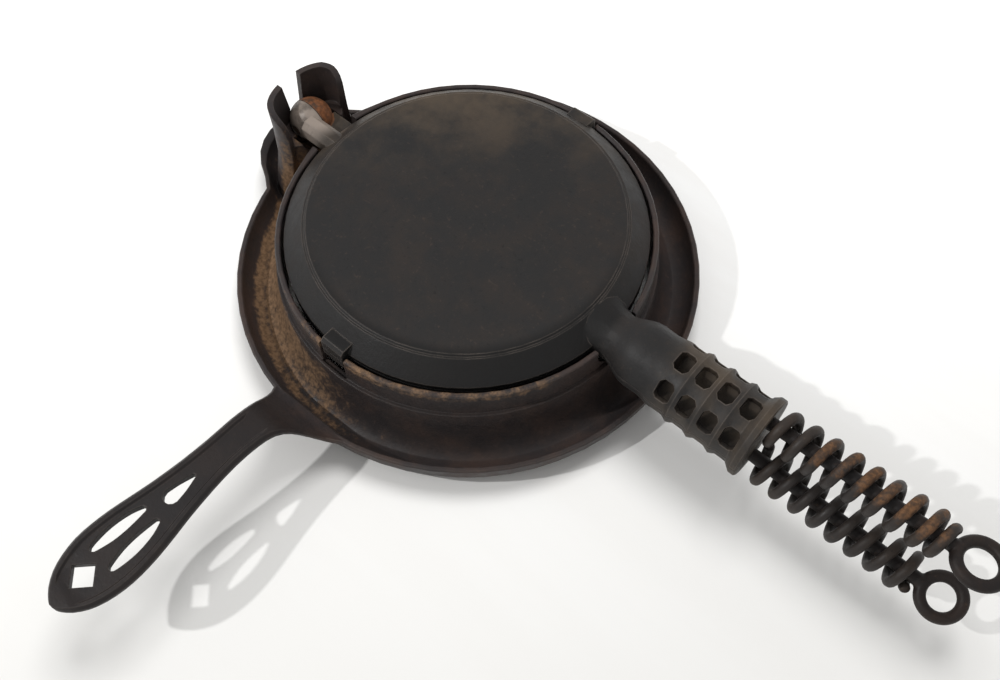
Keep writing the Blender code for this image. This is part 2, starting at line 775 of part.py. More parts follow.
def make_pan():
    """A whole pan, as the upper one lies: disc, studs, lugs, hinge arm, neck, ferrule and collar."""
    grip = lathe(handle_profile(), TUBE_SIDES, "grip_half", along_x(0, 0, PARTING_HEIGHT))
    hollow = rod_shape(
        FERRULE_RADIUS - FERRULE_WALL,
        (FERRULE_START + FERRULE_WALL / 2, 0, PARTING_HEIGHT),
        (FERRULE_END, 0, PARTING_HEIGHT),
        TUBE_SIDES,
        "ferrule_hollow",
    )
    web = box(
        (NECK_END, -FERRULE_RADIUS, PARTING_HEIGHT - FERRULE_RADIUS),
        (COLLAR_END, FERRULE_RADIUS, PARTING_HEIGHT + FERRULE_WEB),
        "ferrule_web",
    )
    hollow = combine(hollow, ("DIFFERENCE", web))
    start, end = rod_line(UPPER_EYE)
    run = (end - start).normalized()
    ends = (start - run * PIECE_GAP, start + run * CUT_OVERRUN)
    rod_hole = rod_shape(ROD_RADIUS + PIECE_GAP, *ends, ROD_SIDES, "rod_hole")
    reach = COLLAR_END + CUT_OVERRUN
    below = box((0, -reach, -reach), (reach, reach, PARTING_HEIGHT + HALF_GAP), "lower_half")
    vents = [vent(i, row) for i in range(VENT_COUNT) for row in (-1, 0, 1)]
    cuts = [("DIFFERENCE", cutter) for cutter in (hollow, *vents, rod_hole, below)]
    grip = combine(grip, *cuts)
    bore = rod_shape(
        PIN_RADIUS + PIECE_GAP,
        (HINGE_X, -BALL_RADIUS - CUT_OVERRUN, PARTING_HEIGHT),
        (HINGE_X, BALL_RADIUS + CUT_OVERRUN, PARTING_HEIGHT),
        ROD_SIDES * 2,
        "pin_bore",
    )
    shapes = [waffle_studs(), lug(-1), lug(1), hinge_arm(), half_ball(), neck_flare(), grip]
    steps = [("UNION", shape) for shape in shapes]
    return combine(pan_disc(), *steps, ("DIFFERENCE", bore))


def make_rod(eye, steel, name, parent):
    """A handle rod with its eye, as the upper one lies."""
    start, centre = rod_line(eye)
    ring_radius, wire_radius, roll = eye
    run = (centre - start).normalized()
    straight = rod_shape(ROD_RADIUS, start, centre - run * ring_radius, ROD_SIDES, name)
    place = Matrix.Translation(centre) @ Matrix.Rotation(roll, 4, run)
    rows = []
    for i in range(EYE_SIDES):
        turn = math.tau * (i + 0.5) / EYE_SIDES
        row = []
        for j in range(ROD_SIDES):
            lean = math.tau * j / ROD_SIDES
            reach = ring_radius + wire_radius * math.cos(lean)
            rise = wire_radius * math.sin(lean)
            row.append(place @ Vector((reach * math.cos(turn), reach * math.sin(turn), rise)))
        rows.append(row)
    ring = skin(rows, True, "eye")
    return finish(combine(straight, ("UNION", ring)), steel, start, parent)


def coil_route(eye):
    """Points along the middle of a coil's wire. It starts a part turn before its first top, against the
    collar, and its last turn is tighter and hugs the rod.
    """
    start, end = rod_line(eye)
    run = (end - start).normalized()
    side = run.cross(Vector((0, 0, 1))).normalized()
    up = side.cross(run)
    lead = round(COIL_LEAD_TURNS * COIL_POINTS_PER_TURN)
    count = round(COIL_TURNS * COIL_POINTS_PER_TURN)
    first = (COIL_START - start.x) / run.x + WIRE_RADIUS + COIL_PITCH * COIL_LEAD_TURNS
    points = []
    for i in range(-lead, count + 1):
        turn = i / COIL_POINTS_PER_TURN
        left = COIL_TURNS - turn
        ease = min(left / COIL_TIGHT_TURNS, 1)
        radius = TIGHT_RADIUS + (COIL_RADIUS - TIGHT_RADIUS) * ease * ease * (3 - 2 * ease)
        angle = math.tau * turn
        along = first + COIL_PITCH * turn - (COIL_PITCH - COIL_END_PITCH) * max(1 - left, 0)
        points.append(start + run * along + (up * math.cos(angle) - side * math.sin(angle)) * radius)
    return points


def least_self_gap(points):
    """Least gap of a tube to itself, from points that lie further along it than half a turn."""
    places = np.array([tuple(point) for point in points])
    apart = np.linalg.norm(places[:, None] - places[None], axis=2)
    index = np.arange(len(points))
    far = np.abs(index[:, None] - index[None]) > COIL_POINTS_PER_TURN / 2
    return apart[far].min() - 2 * WIRE_RADIUS


def make_coil(eye, steel, name, parent):
    """A coil grip, as the upper one lies: one wire wound loosely round its rod."""
    points = coil_route(eye)
    curve = bpy.data.curves.new(name, "CURVE")
    curve.dimensions = "3D"
    curve.bevel_depth = WIRE_RADIUS
    curve.bevel_resolution = 1
    curve.use_fill_caps = True
    spline = curve.splines.new("POLY")
    spline.points.add(len(points) - 1)
    start, _ = rod_line(eye)
    for point, place in zip(spline.points, points):
        point.co = (*(place - start), 1)
    curve.materials.append(steel)
    made = bpy.data.objects.new(name, curve)
    bpy.context.scene.collection.objects.link(made)
    made.location = start
    made.parent = parent
    made.matrix_parent_inverse = Matrix.Translation(-parent_place(parent))
    print(f"{name}: least gap to itself {least_self_gap(points) * 1000:.2f} mm")
    return made


def turn_over(made):
    """Turns a piece half round the handle's axis, onto the lower pan's side."""
    pivot = Vector((HINGE_X, 0, PARTING_HEIGHT))
    half_turn = Matrix.Rotation(math.pi, 4, "X")
    made.location = pivot + half_turn @ (made.location - pivot)
    made.rotation_euler = (math.pi, 0, 0)


def main():
    for old in list(bpy.data.objects):
        bpy.data.objects.remove(old)
    iron = material("cast_iron", (0.045, 0.042, 0.040), 0.55, 0.7)
    pan_iron = material("pan_iron", (0.040, 0.039, 0.038), 0.5, 0.7)
    steel = material("handle_steel", (0.075, 0.060, 0.048), 0.5, 0.8)
    coil_steel = material("coil_steel", (0.110, 0.065, 0.038), 0.6, 0.7)
    pin_steel = material("pin_steel", (0.10, 0.09, 0.08), 0.45, 0.9)

    base = make_base(iron)
    pivot = (HINGE_X, 0, PARTING_HEIGHT)
    half_pin = BALL_RADIUS - PIN_INSET
    pin = lathe(
        (
            (0, -half_pin),
            (PIN_RADIUS - PIN_CHAMFER, -half_pin),
            (PIN_RADIUS, PIN_CHAMFER - half_pin),
            (PIN_RADIUS, half_pin - PIN_CHAMFER),
            (PIN_RADIUS - PIN_CHAMFER, half_pin),
            (0, half_pin),
        ),
        ROD_SIDES,
        "hinge_pin",
        Matrix.Translation(pivot) @ Matrix.Rotation(math.radians(90), 4, "X"),
    )
    finish(pin, pin_steel, pivot, base)
    upper = make_pan()
    upper.name = "upper_pan"
    finish(upper, pan_iron, pivot)
    lower = bpy.data.objects.new("lower_pan", upper.data)
    bpy.context.scene.collection.objects.link(lower)
    lower.location = pivot
    lower.rotation_euler = (math.pi, 0, 0)

    pieces = {}
    for side, eye in (("upper", UPPER_EYE), ("lower", LOWER_EYE)):
        pieces[side] = [
            make_rod(eye, steel, f"{side}_handle_rod", None),
            make_coil(eye, coil_steel, f"{side}_coil_grip", base),
        ]
    for piece in pieces["lower"]:
        turn_over(piece)

    bpy.context.view_layer.update()
    for child, parent in ((lower, pin), (upper, lower)):
        child.parent = parent
        child.matrix_parent_inverse = parent.matrix_world.inverted()
    for side, pan in (("upper", upper), ("lower", lower)):
        for piece in pieces[side]:
            piece.parent = pan
            piece.matrix_parent_inverse = pan.matrix_world.inverted()
            bpy.context.view_layer.update()

    centre_on_origin(base)


def centre_on_origin(base):
    """Moves the base, which carries everything, so that the whole box is centred over the origin."""
    bpy.context.view_layer.update()
    graph = bpy.context.evaluated_depsgraph_get()
    corners = []
    for made in bpy.data.objects:
        if made.hide_render:
            continue
        shape = made.evaluated_get(graph)
        mesh = shape.to_mesh()
        corners += [shape.matrix_world @ vertex.co for vertex in mesh.vertices]
        shape.to_mesh_clear()
    places = np.array([tuple(corner) for corner in corners])
    middle = (places.max(axis=0) + places.min(axis=0)) / 2
    base.location = (-middle[0], -middle[1], -places[:, 2].min())
    bpy.context.view_layer.update()
    print("pans' centre at", [round(value, 6) for value in base.location])


main()
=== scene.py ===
"""Looks of the stovetop waffle iron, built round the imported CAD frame.

Metres, +Z up, in the frame of the CAD model. The base, the pans and the hinge pin are the CAD's own
meshes, dressed in old iron. The two coils and the two handle rods are made here, in their nodes' places.
Near, left and lower in a comment are as in the photograph, for directions that are fixed to the frame.
"""

import json
import math

import bpy
import numpy as np
from mathutils import Matrix, Vector


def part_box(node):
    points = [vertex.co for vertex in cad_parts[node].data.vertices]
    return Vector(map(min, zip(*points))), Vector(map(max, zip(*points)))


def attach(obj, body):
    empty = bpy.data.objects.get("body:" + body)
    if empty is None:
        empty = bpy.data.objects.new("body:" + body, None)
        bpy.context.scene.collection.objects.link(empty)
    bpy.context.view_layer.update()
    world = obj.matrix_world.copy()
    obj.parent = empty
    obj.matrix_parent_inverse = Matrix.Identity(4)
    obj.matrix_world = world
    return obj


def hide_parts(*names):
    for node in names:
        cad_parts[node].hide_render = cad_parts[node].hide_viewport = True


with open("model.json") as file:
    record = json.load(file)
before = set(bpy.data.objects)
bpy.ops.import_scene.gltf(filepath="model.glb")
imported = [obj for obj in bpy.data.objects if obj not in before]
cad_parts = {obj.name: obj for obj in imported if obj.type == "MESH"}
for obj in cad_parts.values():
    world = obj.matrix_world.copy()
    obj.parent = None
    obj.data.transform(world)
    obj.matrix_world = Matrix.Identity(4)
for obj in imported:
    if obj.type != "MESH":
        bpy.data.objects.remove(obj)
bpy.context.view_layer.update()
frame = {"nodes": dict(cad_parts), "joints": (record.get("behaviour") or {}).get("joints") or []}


def srgb(red, green, blue):
    """A linear colour from 0 to 255 screen values."""
    values = []
    for part in (red, green, blue):
        share = part / 255
        values.append(share / 12.92 if share <= 0.04045 else ((share + 0.055) / 1.055) ** 2.4)
    return (*values, 1)


def shade(colour, share):
    """A colour made darker or brighter."""
    return (*(value * share for value in colour[:3]), 1)


JOINTS = {joint["name"]: joint for joint in frame["joints"]}
HINGE = Vector(JOINTS["pans_flip"]["pos_m"])
HINGE_TO_CENTRE = 0.1015
PAN_CENTRE = HINGE + Vector((HINGE_TO_CENTRE, 0, 0))
SIGNS = {"upper": 1, "lower": -1}

# Camera: its axes in the frame, and where it stands: back from the pans' centre, then right and up
CAMERA_RIGHT = Vector((0.7570, 0.6534, 0.0))
CAMERA_UP = Vector((-0.5666, 0.6565, 0.4980))
CAMERA_BACK = Vector((0.3254, -0.3770, 0.8672))
CAMERA_DISTANCE = 0.46908
CAMERA_OFFSET = (0.01483, -0.0501)
CAMERA_LENS = 37.2017
CAMERA_CLIP = (0.01, 50)
SENSOR = 36

# Directions: along the handle, and level ones towards the near side, the left and the lower side
ALONG_HANDLE = (1, 0, 0)
NEAR = (0.6534, -0.7570, 0)
GUTTER_RUST_SIDE = (-0.757, -0.6534, 0)
WALL_RUST_AND_HIGHLIGHT_SIDE = (0.42, -0.91, 0)
# Towards the table's painted shade
TABLE_PAINTED_SHADE_SIDE = (0.58, -0.815, 0)

# Light: the sky's strength, and each lamp's place from the pans' centre, its width and its power
SKY = 0.53
KEY_LAMP = (Vector((-0.43, -0.70, 0.79)), 0.03, 5.2)
OVERHEAD_LAMP = (Vector((-0.10, 0.35, 1.20)), 0.65, 9.5)

# Table top: half its width, how far it lies under the iron, its tones, and how its painted shade, darker
# towards the lower side, comes in
TABLE_HALF = 3.0
TABLE_GAP = 0.0002
TABLE_TONES = (srgb(245, 244, 242), srgb(250, 250, 249))
TABLE_PAINTED_SHADE = srgb(218, 217, 214)
TABLE_PAINTED_SHADE_FALL = (-0.12, 0.30)
STREAK_AREAS = (0.35, 0.7)
TABLE_ROUGH = 0.7
TABLE_GLOSS = 0.2

# Noises: scale, detail, roughness, shift and stretch
PATCHES = (34, 5, 0.62)
BLOTCHES = (95, 6, 0.66, (3, 1, 2))
SPECKS = (520, 3, 0.6, (1, 4, 2))
FINE = (1500, 3, 0.65)
WAVES = (170, 4, 0.55)
STREAKS = (3.2, 5, 0.6, (0, 0, 0), (1.0, 7.0, 1.0))

# A row of numbers for steps() says where an amount starts and where it is full, and then its two ends.
# Iron's skin, by its noises, and by how open the air is round a point for the painted shade in its hollows
BROWN_AREAS = (0.40, 0.66, 0.0)
BRIGHT_SPECKS = (0.58, 0.80, 0.0, 0.35)
DARK_SPECKS = (0.40, 0.22, 0.0, 0.55)
SHEEN_AND_PATINA_AREAS = (0.30, 0.66)
RUST_AREAS = (0.42, 0.86)
RUST_TONES = (0.35, 0.65)
PAINTED_HOLLOW_SHADE = (0.12, 0.55, 0.55, 0.0)
DULL_AREAS = (0.3, 0.7)

# Iron worn bright: at corners, outside, and less in some areas
CORNER = (0.995, 0.90)
OUTSIDE = (0.55, 0.85)
WORN_AREAS = (0.36, 0.62, 0.15)
RUBBED_AREAS = (0.30, 0.48, 0.35, 1.0)
HOLLOW_REACH = 0.006
CORNER_SAMPLES = 6

# How bright the specks, the soot and the painted bevel shade, the rust's darker specks and the painted
# shade in hollows are against the skin's colours
BRIGHT_SPECK_SHADE = 1.8
DARK_SPECK_SHADE = 0.45
SOOT_AND_SHADE_DARKNESS = 0.35
RUST_SHADE = 0.55
PAINTED_HOLLOW_DARKNESS = 0.4
# Patina's lighter brown, which also stands in for painted sheen and painted highlights on the pans
SHEEN_AND_PATINA = srgb(88, 76, 62)

# How much patches and blotches mottle the skin, and how much blotches and specks fray the rust
NOISE_MIDDLE = 0.5
MOTTLE_PATCHES, MOTTLE_BLOTCHES = 0.6, 0.4
FRAY_BLOTCHES, FRAY_SPECKS = 1.15, 0.45
RUST_COVER = 0.85

# Gloss, and what rust and wear do to the roughness
GLOSS = 0.30
RUST_DULLS = 0.22
WEAR_SHINES = 0.15

# Relief: how much each noise raises the surface, and each bump's strength and depth
FINE_RELIEF, SPECK_RELIEF, RUST_RELIEF = 0.5, 0.9, 0.9
GRAIN_BUMP = (0.8, 0.00016)
WAVE_BUMP = (0.7, 0.00022)

# Base, by distance from the pans' axis, by height, and by distance towards a side
GUTTER_INNER = (0.0862, 0.0888)
GUTTER_OUTER = (0.1062, 0.1005)
GUTTER_FLOOR = (0.002, 0.004)
GUTTER_RUST = (0.005, 0.100, 0.0, 0.84)
GUTTER_FADE = (0.031, 0.018, 0.35, 1.0)
# The wall's top edge on its lower side gets rust with a painted highlight
WALL_RADIUS = (0.0900, 0.0872)
WALL_HEIGHT = (0.033, 0.039)
WALL_RUST_AND_HIGHLIGHT = (0.03, 0.08, 0.0, 0.55)
LOBE = HINGE + Vector((0, -0.012, -0.02))
LOBE_RUST = (0.034, 0.018, 0.0, 0.30)
SIDE_HANDLE_SOOT = (0.112, 0.126, 0.0, 0.78)
BASE_LEAST_RUST = 0.05

# Pans, by distance from the pans' axis or the hinge, and by distance towards a side
KNUCKLE_RUST = (0.0125, 0.0095, 0.0)
FERRULE_RUST = (0.09, 0.115, 0.0, 0.16)
FAR_RIM_RUST = (0.04, 0.085, 0.0, 0.10)
PAN_LEAST_RUST = 0.03
BEVEL_INNER = (0.066, 0.072)
BEVEL_OUTER = (0.087, 0.082)
# Painted shade on the near side of the bevel
BEVEL_PAINTED_SHADE = (0.0, 0.06, 0.0, 0.85)
# Patina with painted sheen on the disc's far side, and with painted highlights on the ferrule
DISC_SHEEN_AND_PATINA = (-0.01, -0.085, 0.0, 0.6)
FERRULE_SHEEN_AND_PATINA = (0.105, 0.118, 0.0, 0.5)
RUBBED_PLACE = HINGE + Vector((0.006, 0, 0.005))
RUBBED_REACH = (0.018, 0.008, 0.0, 1.0)

# Coils. The wire tightens in its last turns, and wavers a little
COIL_WIRE = 0.00225
COIL_RADIUS = 0.0077
COIL_START = 0.1599
COIL_LEAD_TURNS = 0.3
COIL_TURNS = 8.2
COIL_PITCH = 0.009
COIL_END_PITCH = 0.006
COIL_TIGHT_TURNS = 0.75
COIL_TIGHT_RADIUS = 0.00565
COIL_POINTS_PER_TURN = 24
COIL_SEEDS = {"upper": 7, "lower": 11}
COIL_WOBBLE = 0.00012
COIL_SWELL_RATE = 1.7
COIL_SLIP_RATES = (2.3, 5.1)
COIL_TIP_SHARE = 0.86
WIRE_SIDES = 14

# Rust on the coils: where it starts and ends along the handle and its most, how fast it comes and
# goes, and how far out from the rod it lies
COIL_RUST = {"upper": (0.016, 0.086, 0.66), "lower": (0.03, 0.12, 0.25)}
COIL_RUST_COMES = 0.012
COIL_RUST_GOES = 0.008
COIL_OUTSIDE = (-0.001, 0.0085)

# Handle rods. An eye has a radius, the radius of its wire and a roll about the rod
ROD_RADIUS = 0.003
EYES = {"upper": (0.0088, 0.0026, math.radians(-4)), "lower": (0.0081, 0.0025, math.radians(18))}
ROD_STEPS = 40
EYE_STEPS = 56
ROD_SIDES = 20
ROD_VOXEL = 0.0005
ROD_EASE = 0.5
ROD_EASE_ROUNDS = 4

# CAD meshes: points this close become one, and edges that bend less than this are shaded smoothly
JOIN_DISTANCE = 0.00001
SMOOTH_ANGLE = math.radians(34)


class Tree:
    """A material's node tree, with short ways to add to it."""

    def __init__(self, name):
        self.material = bpy.data.materials.new(name)
        self.material.use_nodes = True
        self.tree = self.material.node_tree
        self.tree.nodes.clear()
        self.place = self.add("ShaderNodeTexCoord").outputs["Object"]

    def add(self, kind, inputs=(), **settings):
        """A node. Its inputs are values, or sockets to link from."""
        made = self.tree.nodes.new(kind)
        for name, value in settings.items():
            setattr(made, name, value)
        for name, value in dict(inputs).items():
            socket = made.inputs[name]
            if isinstance(value, bpy.types.NodeSocket):
                self.tree.links.new(value, socket)
            else:
                socket.default_value = value
        return made

    def noise(self, scale, detail, roughness, shift=(0, 0, 0), stretch=(1, 1, 1)):
        """Noise from 0 to 1 over the piece's own coordinates."""
        place = self.add(
            "ShaderNodeMapping",
            {"Vector": self.place, "Scale": stretch, "Location": shift},
        )
        made = self.add(
            "ShaderNodeTexNoise",
            {"Vector": place.outputs[0], "Scale": scale, "Detail": detail, "Roughness": roughness},
        )
        return made.outputs[0]

    def steps(self, value, low, high, bottom=0.0, top=1.0):
        """A value carried smoothly from one range to another."""
        made = self.add(
            "ShaderNodeMapRange",
            {0: value, 1: low, 2: high, 3: bottom, 4: top},
            interpolation_type="SMOOTHSTEP",
        )
        return made.outputs[0]

    def maths(self, operation, first, *others, clamp=False):
        """Values put together one after another."""
        result = first
        for value in others:
            inputs = {0: result, 1: value}
            made = self.add("ShaderNodeMath", inputs, operation=operation, use_clamp=clamp)
            result = made.outputs[0]
        return result

    def times(self, *values):
        """The product of values."""
        return self.maths("MULTIPLY", *values)

    def plus(self, *values):
        """The sum of values."""
        return self.maths("ADD", *values)

    def vector(self, operation, *values, output="Vector"):
        """Vectors put together."""
        inputs = dict(enumerate(values))
        return self.add("ShaderNodeVectorMath", inputs, operation=operation).outputs[output]

    def mix(self, share, first, second):
        """A colour between two."""
        inputs = {0: share, 6: first, 7: second}
        return self.add("ShaderNodeMix", inputs, data_type="RGBA").outputs[2]

    def from_point(self, point, flat=False):
        """Distance from a point of the frame, or from the upright line through it."""
        across = self.vector("SUBTRACT", self.place, tuple(point))
        if flat:
            across = self.vector("MULTIPLY", across, (1, 1, 0))
        return self.vector("LENGTH", across, output="Value")

    def along(self, point, direction):
        """Distance along a direction, from a point."""
        across = self.vector("SUBTRACT", self.place, tuple(point))
        return self.vector("DOT_PRODUCT", across, tuple(direction), output="Value")

    def bump(self, strength, depth, height, normal):
        """A normal, tilted by a relief."""
        inputs = {"Strength": strength, "Distance": depth, "Height": height, "Normal": normal}
        return self.add("ShaderNodeBump", inputs).outputs[0]

    def finish(self, colour, roughness, gloss, inputs=()):
        """The finished material."""
        shader = self.add(
            "ShaderNodeBsdfPrincipled",
            {"Base Color": colour, "Roughness": roughness, "Specular IOR Level": gloss, **dict(inputs)},
        )
        self.add("ShaderNodeOutputMaterial", {"Surface": shader.outputs[0]})
        return self.material


def iron(
    name,
    dark,
    brown,
    rust,
    rust_mask,
    brown_share=0.5,
    wear_share=0.55,
    wear_colour=srgb(118, 108, 98),
    rough=(0.42, 0.62),
    round_edge=0.0009,
    rubbed=None,
    soot_and_shade=None,
    sheen_and_patina=None,
):
    """Old iron: a dark seasoned skin with brown areas, worn edges, painted shade in its hollows and a
    sand-cast grain.

    The masks say where it has rust, where it is rubbed bright, where it is darker (soot on the base's side
    handle, painted shade on the pans' near bevel), and where it has patina with painted sheen and
    highlights.
    """
    t = Tree(name)
    patches = t.noise(*PATCHES)
    blotches = t.noise(*BLOTCHES)
    specks = t.noise(*SPECKS)
    fine = t.noise(*FINE)

    rounded = t.add("ShaderNodeBevel", {"Radius": round_edge}, samples=CORNER_SAMPLES).outputs[0]
    normal = t.add("ShaderNodeNewGeometry").outputs["Normal"]
    corner = t.steps(t.vector("DOT_PRODUCT", rounded, normal, output="Value"), *CORNER)
    hollow = t.add("ShaderNodeAmbientOcclusion", {"Distance": HOLLOW_REACH}, samples=CORNER_SAMPLES)
    open_air = hollow.outputs["AO"]
    wear = t.times(corner, t.steps(open_air, *OUTSIDE), t.steps(blotches, *WORN_AREAS, wear_share))

    mottled = t.plus(t.times(patches, MOTTLE_PATCHES), t.times(blotches, MOTTLE_BLOTCHES))
    skin = t.mix(t.steps(mottled, *BROWN_AREAS, brown_share), dark, brown)
    skin = t.mix(t.steps(specks, *BRIGHT_SPECKS), skin, shade(brown, BRIGHT_SPECK_SHADE))
    skin = t.mix(t.steps(specks, *DARK_SPECKS), skin, shade(dark, DARK_SPECK_SHADE))
    # Patina, with painted sheen on the disc's far side and painted highlights on the ferrule
    if sheen_and_patina:
        skin = t.mix(t.times(sheen_and_patina(t), t.steps(patches, *SHEEN_AND_PATINA_AREAS)), skin, SHEEN_AND_PATINA)
    # Soot on the base's side handle; painted shade on the pans' near bevel
    if soot_and_shade:
        skin = t.mix(soot_and_shade(t), skin, shade(dark, SOOT_AND_SHADE_DARKNESS))

    frayed = t.plus(
        rust_mask(t),
        t.times(t.maths("SUBTRACT", blotches, NOISE_MIDDLE), FRAY_BLOTCHES),
        t.times(t.maths("SUBTRACT", specks, NOISE_MIDDLE), FRAY_SPECKS),
    )
    rusty = t.steps(frayed, *RUST_AREAS)
    rust_tone = t.mix(t.steps(specks, *RUST_TONES), shade(rust, RUST_SHADE), rust)
    skin = t.mix(t.times(rusty, RUST_COVER), skin, rust_tone)
    if rubbed:
        wear = t.maths("MAXIMUM", wear, t.times(rubbed(t), t.steps(blotches, *RUBBED_AREAS)))
    skin = t.mix(wear, skin, wear_colour)
    # Painted shade: darker where the air round a point is closed in, in hollows and between parts
    skin = t.mix(t.steps(open_air, *PAINTED_HOLLOW_SHADE), skin, shade(dark, PAINTED_HOLLOW_DARKNESS))

    dull = t.plus(t.steps(blotches, *DULL_AREAS, *rough), t.times(rusty, RUST_DULLS))
    dull = t.maths("SUBTRACT", dull, t.times(wear, WEAR_SHINES), clamp=True)

    height = t.plus(
        t.times(fine, FINE_RELIEF),
        t.times(specks, SPECK_RELIEF),
        t.times(rusty, t.times(fine, RUST_RELIEF)),
    )
    grain = t.bump(*GRAIN_BUMP, height, rounded)
    relief = t.bump(*WAVE_BUMP, t.noise(*WAVES), grain)
    return t.finish(skin, dull, GLOSS, {"Normal": relief})


def even_rust(amount):
    """The same tendency to rust all over."""
    return lambda t: amount


def base_rust(t):
    """Rust on the left of the gutter's slope, rust with a painted highlight on the top edge of the wall's
    lower side, and rust on the lobe.
    """
    radius = t.from_point(PAN_CENTRE, flat=True)
    height = t.add("ShaderNodeSeparateXYZ", {0: t.place}).outputs[2]
    left = t.along(PAN_CENTRE, GUTTER_RUST_SIDE)
    lower = t.along(PAN_CENTRE, WALL_RUST_AND_HIGHLIGHT_SIDE)
    gutter = t.times(
        t.steps(radius, *GUTTER_INNER),
        t.steps(radius, *GUTTER_OUTER),
        t.steps(height, *GUTTER_FLOOR),
        t.steps(left, *GUTTER_RUST),
        t.steps(height, *GUTTER_FADE),
    )
    # Rust with a painted highlight along the wall's top edge
    edge = t.times(
        t.steps(radius, *WALL_RADIUS),
        t.steps(height, *WALL_HEIGHT),
        t.steps(lower, *WALL_RUST_AND_HIGHLIGHT),
    )
    lobe = t.steps(t.from_point(LOBE), *LOBE_RUST)
    return t.plus(gutter, edge, t.plus(lobe, BASE_LEAST_RUST))


def base_soot(t):
    """A darker side handle."""
    return t.steps(t.from_point(PAN_CENTRE, flat=True), *SIDE_HANDLE_SOOT)


def pan_rust(knuckle_most):
    """Hardly any rust on a pan, apart from the hinge's knuckle, the vented ferrule and the far rim."""

    def mask(t):
        knuckle = t.steps(t.from_point(HINGE), *KNUCKLE_RUST, knuckle_most)
        ferrule = t.steps(t.along(PAN_CENTRE, ALONG_HANDLE), *FERRULE_RUST)
        far_rim = t.steps(t.along(PAN_CENTRE, CAMERA_UP), *FAR_RIM_RUST)
        return t.plus(knuckle, ferrule, t.plus(far_rim, PAN_LEAST_RUST))

    return mask


def painted_bevel_shade(t):
    """Painted shade: a darker bevel on the near side."""
    radius = t.from_point(PAN_CENTRE, flat=True)
    near = t.along(PAN_CENTRE, NEAR)
    return t.times(
        t.steps(radius, *BEVEL_INNER),
        t.steps(radius, *BEVEL_OUTER),
        t.steps(near, *BEVEL_PAINTED_SHADE),
    )


def pan_sheen_and_patina(t):
    """A lighter brown skin on the far side of the disc and on the ferrule: patina, with painted sheen on
    the disc and painted highlights on the ferrule.
    """
    disc = t.steps(t.along(PAN_CENTRE, NEAR), *DISC_SHEEN_AND_PATINA)
    ferrule = t.steps(t.along(PAN_CENTRE, ALONG_HANDLE), *FERRULE_SHEEN_AND_PATINA)
    return t.maths("MAXIMUM", disc, ferrule)


def rubbed_hinge(t):
    """Bright rubbed iron on the hinge arm and the ball."""
    return t.steps(t.from_point(RUBBED_PLACE), *RUBBED_REACH)


def coil_rust(side):
    """Rust on the outer side of a coil, between two distances along the handle."""
    start, _, _, up = rod_axes(side)
    low, high, most = COIL_RUST[side]

    def mask(t):
        far = t.along(start, ALONG_HANDLE)
        outer = t.steps(t.along(start, up), *COIL_OUTSIDE)
        comes = t.steps(far, low, low + COIL_RUST_COMES)
        goes = t.steps(far, high, high - COIL_RUST_GOES, 0.0, most)
        return t.times(comes, goes, outer)

    return mask


def soften_group():
    """A node group that joins a CAD mesh's faces and shades them smoothly, except over sharp edges."""
    group = bpy.data.node_groups.new("soften", "GeometryNodeTree")
    group.interface.new_socket("Geometry", in_out="INPUT", socket_type="NodeSocketGeometry")
    group.interface.new_socket("Geometry", in_out="OUTPUT", socket_type="NodeSocketGeometry")
    nodes, links = group.nodes, group.links
    start = nodes.new("NodeGroupInput")
    end = nodes.new("NodeGroupOutput")
    merge = nodes.new("GeometryNodeMergeByDistance")
    merge.inputs["Distance"].default_value = JOIN_DISTANCE
    faces = nodes.new("GeometryNodeSetShadeSmooth")
    edges = nodes.new("GeometryNodeSetShadeSmooth")
    edges.domain = "EDGE"
    angle = nodes.new("GeometryNodeInputMeshEdgeAngle")
    flat = nodes.new("FunctionNodeCompare")
    flat.operation = "LESS_THAN"
    flat.inputs[1].default_value = SMOOTH_ANGLE
    links.new(start.outputs[0], merge.inputs["Geometry"])
    links.new(merge.outputs[0], faces.inputs["Geometry"])
    links.new(faces.outputs[0], edges.inputs["Geometry"])
    links.new(angle.outputs[0], flat.inputs[0])
    links.new(flat.outputs[0], edges.inputs["Shade Smooth"])
    links.new(edges.outputs[0], end.inputs[0])
    return group


def dress(node, material, group):
    """Gives a CAD node its material and its smooth shading."""
    made = frame["nodes"][node]
    made.data.materials.clear()
    made.data.materials.append(material)
    modifier = made.modifiers.new("soften", "NODES")
    modifier.node_group = group
    weigh = made.modifiers.new("weigh", "WEIGHTED_NORMAL")
    weigh.keep_sharp = True


def new_object(name, data):
    """An object, put in the scene."""
    made = bpy.data.objects.new(name, data)
    bpy.context.scene.collection.objects.link(made)
    return made


def tube(points, radii, sides, name, closed=False):
    """A mesh tube along points, with a radius at each, and flat caps where it is open."""
    points = [Vector(point) for point in points]
    count = len(points)
    runs = []
    for i in range(count):
        before = points[i - 1] if closed or i > 0 else points[0]
        after = points[(i + 1) % count] if closed or i < count - 1 else points[-1]
        runs.append((after - before).normalized())
    side = runs[0].orthogonal().normalized()
    verts = []
    for i, point in enumerate(points):
        side = (side - runs[i] * side.dot(runs[i])).normalized()
        up = runs[i].cross(side)
        for k in range(sides):
            turn = math.tau * k / sides
            verts.append(point + (side * math.cos(turn) + up * math.sin(turn)) * radii[i])
    faces = []
    for i in range(count if closed else count - 1):
        j = (i + 1) % count
        for k in range(sides):
            n = (k + 1) % sides
            faces.append((i * sides + k, i * sides + n, j * sides + n, j * sides + k))
    if not closed:
        faces.append(tuple(range(sides))[::-1])
        faces.append(tuple(range((count - 1) * sides, count * sides)))
    mesh = bpy.data.meshes.new(name)
    mesh.from_pydata(verts, [], faces)
    mesh.validate()
    mesh.shade_smooth()
    return new_object(name, mesh)


